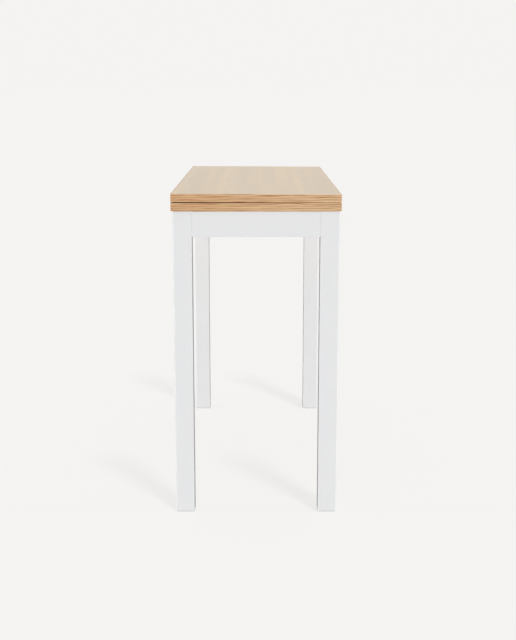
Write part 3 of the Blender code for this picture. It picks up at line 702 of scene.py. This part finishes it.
# Studio
# A pale seamless floor and backdrop, and an even surround that is brightest from above.  Soft fills
# light the top, ends, sides and underside, and one lamp lays the legs' shadows on the floor.
# The floor is clear from below, so that the underside can be looked at.
BACKDROP = "#F4F3F1"
FLOOR_HALF = 200.0
FLOOR_DROP = 0.0004

# The seen floor glows near the backdrop's level, and a share of it takes light and shadow.  What it
# scatters back on the table is darker.
FLOOR_GLOW = 0.964
FLOOR_SHADOW_SHARE = 0.11
FLOOR_BOUNCE = "#6F6F6F"
SURROUND = 0.10
OVERHEAD_LIGHT = 1.00
OVERHEAD_FALL = 2.0


def seen_directly(owner):
    """One where the camera, a reflection or a clear piece looks, and nought for light that scatters."""
    path = add_node(owner, "LightPath", {})
    seen = add_node(owner, "Math", {0: path.outputs["Is Camera Ray"], 1: path.outputs["Is Glossy Ray"]},
                    operation="MAXIMUM")
    seen = add_node(owner, "Math", {0: seen.outputs[0], 1: path.outputs["Is Transmission Ray"]},
                    operation="MAXIMUM")
    return seen.outputs[0]


floor_paint = bpy.data.materials.new("pale_floor_paint")
floor_paint.use_nodes = True
floor_paint.node_tree.nodes.clear()
glow = add_node(floor_paint, "Emission", {"Color": linear(BACKDROP), "Strength": FLOOR_GLOW})
matt = add_node(floor_paint, "BsdfDiffuse", {"Color": linear(BACKDROP)})
bounce = add_node(floor_paint, "BsdfDiffuse", {"Color": linear(FLOOR_BOUNCE)})
clear = add_node(floor_paint, "BsdfTransparent", {})
from_below = add_node(floor_paint, "NewGeometry", {}).outputs["Backfacing"]
seen_floor = add_node(floor_paint, "MixShader", {0: FLOOR_SHADOW_SHARE, 1: glow.outputs[0],
                                                 2: matt.outputs[0]})
floor_shader = add_node(floor_paint, "MixShader", {0: seen_directly(floor_paint), 1: bounce.outputs[0],
                                                   2: seen_floor.outputs[0]})
floor_shader = add_node(floor_paint, "MixShader", {0: from_below, 1: floor_shader.outputs[0],
                                                   2: clear.outputs[0]})
add_node(floor_paint, "OutputMaterial", {"Surface": floor_shader.outputs[0]})
floor_corners = []
for sign_x, sign_y in ((-1, -1), (1, -1), (1, 1), (-1, 1)):
    floor_corners.append((sign_x * FLOOR_HALF, sign_y * FLOOR_HALF, -FLOOR_DROP))
floor_mesh = bpy.data.meshes.new("floor")
floor_mesh.from_pydata(floor_corners, [], [(0, 1, 2, 3)])
floor_mesh.materials.append(floor_paint)
floor = bpy.data.objects.new("floor", floor_mesh)
bpy.context.scene.collection.objects.link(floor)

studio = bpy.data.worlds.new("studio")
studio.use_nodes = True
studio.node_tree.nodes.clear()
bpy.context.scene.world = studio
direction = add_node(studio, "TexCoord", {}).outputs["Generated"]
split = add_node(studio, "SeparateXYZ", {"Vector": direction})
above = add_node(studio, "Math", {0: split.outputs["Z"], 1: 0.0}, operation="MAXIMUM").outputs[0]
overhead = add_node(studio, "Math", {0: above, 1: OVERHEAD_FALL}, operation="POWER").outputs[0]
level = add_node(studio, "Math", {0: overhead, 1: OVERHEAD_LIGHT, 2: SURROUND}, operation="MULTIPLY_ADD")
surround = add_node(studio, "Background", {"Color": linear("#FFFFFF"), "Strength": level.outputs[0]})
backdrop = add_node(studio, "Background", {"Color": linear(BACKDROP), "Strength": 1.0})
sky = add_node(studio, "MixShader", {0: seen_directly(studio), 1: surround.outputs[0],
                                     2: backdrop.outputs[0]})
add_node(studio, "OutputWorld", {"Surface": sky.outputs[0]})

# Each lamp's strength, its spread in degrees, the side it comes from, and the pieces that shade it.
# None means that everything does, and an empty list that nothing does.
LOWER_LEAF = ["laminated_lower_leaf_board"] + [f"strip_lower_edging_{side}" for side in EDGING]
LEGS = [f"tube_leg_{corner}" for corner in CORNERS]
LAMPS = {
    "top_fill": (0.54, 9.0, (0.0, 0.0, 1.0), None),
    "front_fill": (2.02, 2.0, (0.0, -1.0, 0.0), []),
    "rear_fill": (2.02, 2.0, (0.0, 1.0, 0.0), []),
    "left_fill": (1.60, 6.0, (-1.0, 0.0, 0.06), None),
    "right_fill": (1.60, 6.0, (1.0, 0.0, 0.06), None),
    "under_fill": (0.98, 9.0, (0.0, 0.0, -1.0), LOWER_LEAF),
    "floor_lamp": (2.43, 9.0, (0.26, -0.46, 0.84), LEGS),
}
for name, (strength, spread, source, shading) in LAMPS.items():
    lamp = bpy.data.lights.new(name, "SUN")
    lamp.energy = strength
    lamp.angle = math.radians(spread)
    lamp.use_shadow = shading != []
    lamp_object = bpy.data.objects.new(name, lamp)
    lamp_object.rotation_euler = Vector(source).to_track_quat("Z", "Y").to_euler()
    # A lamp isn't mirrored in the gloss, because its image would burn out the top.
    lamp_object.visible_glossy = False
    bpy.context.scene.collection.objects.link(lamp_object)
    if shading:
        lamp_object.light_linking.blocker_collection = bpy.data.collections.new(f"shades_{name}")
        for piece in shading:
            lamp_object.light_linking.blocker_collection.objects.link(bpy.data.objects[piece])

# The floor lamp lights the floor alone, and the top fill lights everything but the floor.
lit_floor = bpy.data.collections.new("lit_floor")
lit_floor.objects.link(floor)
bpy.data.objects["floor_lamp"].light_linking.receiver_collection = lit_floor
passed_floor = bpy.data.collections.new("passed_floor")
passed_floor.objects.link(floor)
passed_floor.collection_objects[0].light_linking.link_state = "EXCLUDE"
bpy.data.objects["top_fill"].light_linking.receiver_collection = passed_floor

# Camera
# It stands in front of the short end, a little above the top, and looks slightly down on it.
CAMERA_PLACE = (0.0035, -3.2259, 1.0205)
CAMERA_PITCH = 11.189
CAMERA_YAW = 0.020
CAMERA_LENS = 65.76
SENSOR_LONG_SIDE = 36.0
camera_data = bpy.data.cameras.new("camera")
camera_data.lens = CAMERA_LENS
camera_data.sensor_width = SENSOR_LONG_SIDE
camera_data.clip_end = 2 * FLOOR_HALF
camera = bpy.data.objects.new("camera", camera_data)
camera.location = CAMERA_PLACE
camera.rotation_euler = (math.radians(90 - CAMERA_PITCH), 0.0, math.radians(-CAMERA_YAW))
bpy.context.scene.collection.objects.link(camera)
bpy.context.scene.camera = camera
bpy.context.scene.view_settings.view_transform = "Standard"
